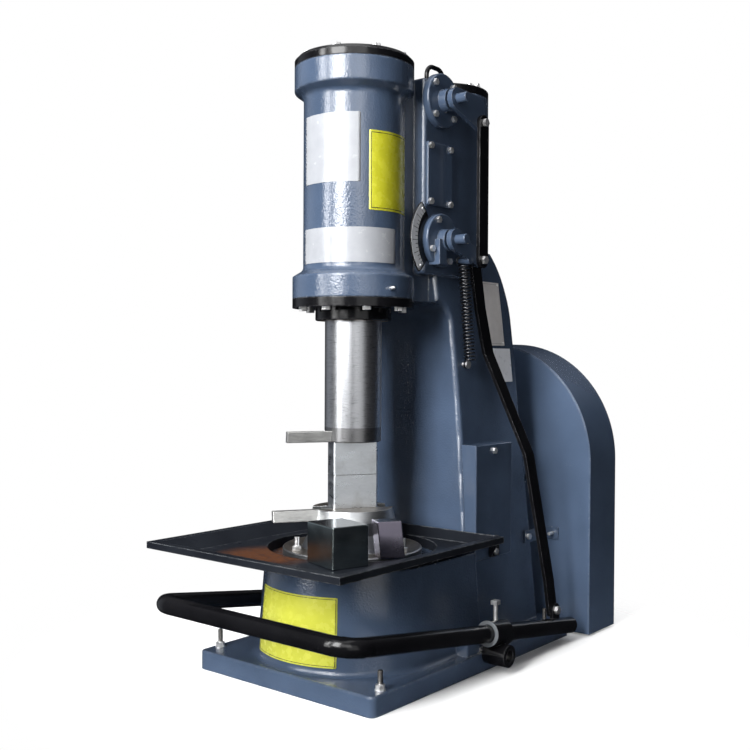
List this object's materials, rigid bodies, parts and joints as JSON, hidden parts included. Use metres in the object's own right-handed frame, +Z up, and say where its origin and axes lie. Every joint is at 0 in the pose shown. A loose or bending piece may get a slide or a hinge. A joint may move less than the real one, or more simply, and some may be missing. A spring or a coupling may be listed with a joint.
{
  "type": "pneumatic forging hammer",
  "caption": "Pneumatic forging hammer: cast frame with ram and compressor barrels, sliding ram with dovetailed dies over an anvil, foot treadle, valve linkage and guarded belt drive.",
  "frame": {"origin": "on the ram axis, on the floor plane under the base", "axes": "+Z up along the ram, -Y towards the operator, +X towards the valve side"},
  "size_m": [0.604, 1.034, 1.334],
  "materials": {
    "casting_enamel": "gloss slate blue enamel on cast iron",
    "guard_enamel": "gloss slate blue enamel on sheet steel",
    "black_enamel": "gloss black enamel on steel",
    "bright_steel": "ground steel",
    "machined_iron": "turned cast iron",
    "zinc_steel": "zinc plated steel",
    "spring_steel": "dark drawn steel wire",
    "bronze": "bored bronze",
    "belt_rubber": "matt rubber",
    "motor_enamel": "grey enamel",
    "plate_aluminium": "anodised plate"
  },
  "bodies": {
    "frame": {"frame_casting": "casting_enamel", "ram_cylinder_cap": "black_enamel", "compressor_cap": "black_enamel", "barrel_bolts": "zinc_steel", "oil_fittings": "zinc_steel", "lifting_loops": "black_enamel", "gland_housing": "black_enamel", "guide_bush": "bronze", "anvil": "machined_iron", "anvil_studs": "zinc_steel", "lower_die": "bright_steel", "lower_die_wedge": "bright_steel", "loose_die_block": "bright_steel", "loose_die_plate": "bright_steel", "scale_tray": "black_enamel", "tray_straps": "black_enamel", "side_cover": "casting_enamel", "cover_and_strap_bolts": "zinc_steel", "treadle_shaft": "bright_steel", "valve_covers": "casting_enamel", "chest_cover": "casting_enamel", "chest_bolts": "zinc_steel", "index_plate": "plate_aluminium", "spring_anchor": "zinc_steel", "return_spring": "spring_steel", "bearing_housing": "black_enamel", "main_bearings": "bright_steel", "drive_belts": "belt_rubber", "motor": "motor_enamel", "belt_guard": "guard_enamel", "guard_front_plate": "guard_enamel", "guard_brackets": "casting_enamel", "rear_bolts": "zinc_steel", "anchor_bolts": "zinc_steel"},
    "ram": {"ram": "bright_steel", "ram_piston_rings": "machined_iron", "upper_die": "bright_steel", "upper_die_wedge": "bright_steel"},
    "treadle": {"treadle_pipe": "black_enamel", "treadle_clamps": "black_enamel", "treadle_set_screws": "zinc_steel", "treadle_link_pin": "zinc_steel"},
    "treadle_link": {"treadle_link": "black_enamel"},
    "lower_valve": {"lower_valve_spool": "bright_steel", "lower_lever": "black_enamel", "lower_lever_pin": "zinc_steel"},
    "upper_valve": {"upper_valve_spool": "bright_steel", "upper_lever": "black_enamel", "upper_lever_pin": "zinc_steel"},
    "valve_link": {"valve_link": "black_enamel"},
    "crank": {"crankshaft": "bright_steel", "flywheel": "black_enamel", "flywheel_nut": "zinc_steel"},
    "motor_rotor": {"motor_shaft": "bright_steel", "motor_pulley": "machined_iron"},
    "compressor": {"compressor_piston": "machined_iron", "compressor_rings": "machined_iron", "wrist_pin": "bright_steel"},
    "rod": {"connecting_rod": "bright_steel", "crank_pin": "bright_steel"}
  },
  "joints": [
    {"name": "ram_slide", "type": "slide", "parent": "frame", "child": "ram", "axis": [0, 0, 1], "range_m": [0, 0.23]},
    {"name": "treadle_pivot", "type": "hinge", "parent": "frame", "child": "treadle", "pos_m": [0, 0.165, 0.041], "axis": [1, 0, 0], "range_deg": [0, 8], "stiffness_Nm_per_rad": 120, "springref_deg": -11.46},
    {"name": "treadle_link_turn", "type": "hinge", "parent": "treadle", "child": "treadle_link", "pos_m": [0.2575, 0.424, 0.086], "axis": [1, 0, 0], "range_deg": [-9.2, 0]},
    {"name": "lower_valve_turn", "type": "hinge", "parent": "frame", "child": "lower_valve", "pos_m": [0, 0.15, 0.937], "axis": [1, 0, 0], "range_deg": [0, 23], "deforming": ["return_spring"]},
    {"name": "upper_valve_turn", "type": "hinge", "parent": "frame", "child": "upper_valve", "pos_m": [0, 0.15, 1.245], "axis": [1, 0, 0], "range_deg": [0, 23]},
    {"name": "valve_link_turn", "type": "hinge", "parent": "lower_valve", "child": "valve_link", "pos_m": [0.1745, 0.243, 0.899], "axis": [1, 0, 0], "range_deg": [-23, 0]},
    {"name": "crank_spin", "type": "hinge", "parent": "frame", "child": "crank", "pos_m": [0, 0.5, 0.425], "axis": [0, 1, 0], "continuous": true},
    {"name": "motor_spin", "type": "hinge", "parent": "frame", "child": "motor_rotor", "pos_m": [0, 0.5, 0.145], "axis": [0, 1, 0], "continuous": true},
    {"name": "compressor_slide", "type": "slide", "parent": "frame", "child": "compressor", "axis": [0, 0, 1], "range_m": [-0.16, 0]},
    {"name": "rod_swing", "type": "hinge", "parent": "compressor", "child": "rod", "pos_m": [0, 0.338, 0.96], "axis": [0, 1, 0], "range_deg": [-10.1, 10.1]}
  ],
  "couplings": [
    {"joint": "lower_valve_turn", "follows": "treadle_pivot", "ratio": 2.85},
    {"joint": "upper_valve_turn", "follows": "treadle_pivot", "ratio": 2.85},
    {"joint": "valve_link_turn", "follows": "treadle_pivot", "ratio": -2.85},
    {"joint": "treadle_link_turn", "follows": "treadle_pivot", "ratio": -1.1425},
    {"joint": "motor_spin", "follows": "crank_spin", "ratio": 5.3659}
  ]
}
